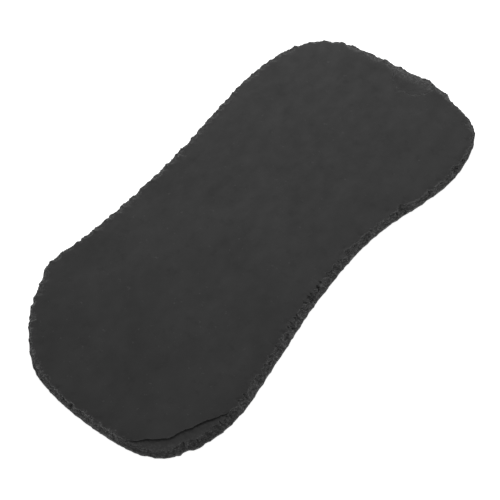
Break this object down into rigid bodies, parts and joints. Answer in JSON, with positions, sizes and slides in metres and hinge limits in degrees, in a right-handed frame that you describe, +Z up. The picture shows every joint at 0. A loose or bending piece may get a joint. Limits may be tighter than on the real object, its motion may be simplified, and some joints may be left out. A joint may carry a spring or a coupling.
{
  "type": "slate serving board",
  "caption": "Thin split-slate serving board with a waisted outline, cleft matt top and chipped edges, standing on self-adhesive foam feet.",
  "frame": {"origin": "on the surface that the feet stand on, under the middle of the board", "axes": "+X along the board's length, towards the end with the flake scar; -Y towards the side with the deeper waist; +Z up"},
  "size_m": [0.3, 0.141, 0.0083],
  "materials": {
    "slate": "matt, naturally cleft, unsealed",
    "foot_foam": "matt closed-cell foam"
  },
  "bodies": {
    "root": {"slate_slab": "slate", "foot_front_left": "foot_foam", "foot_front_right": "foot_foam", "foot_back_left": "foot_foam", "foot_back_right": "foot_foam"}
  },
  "joints": []
}
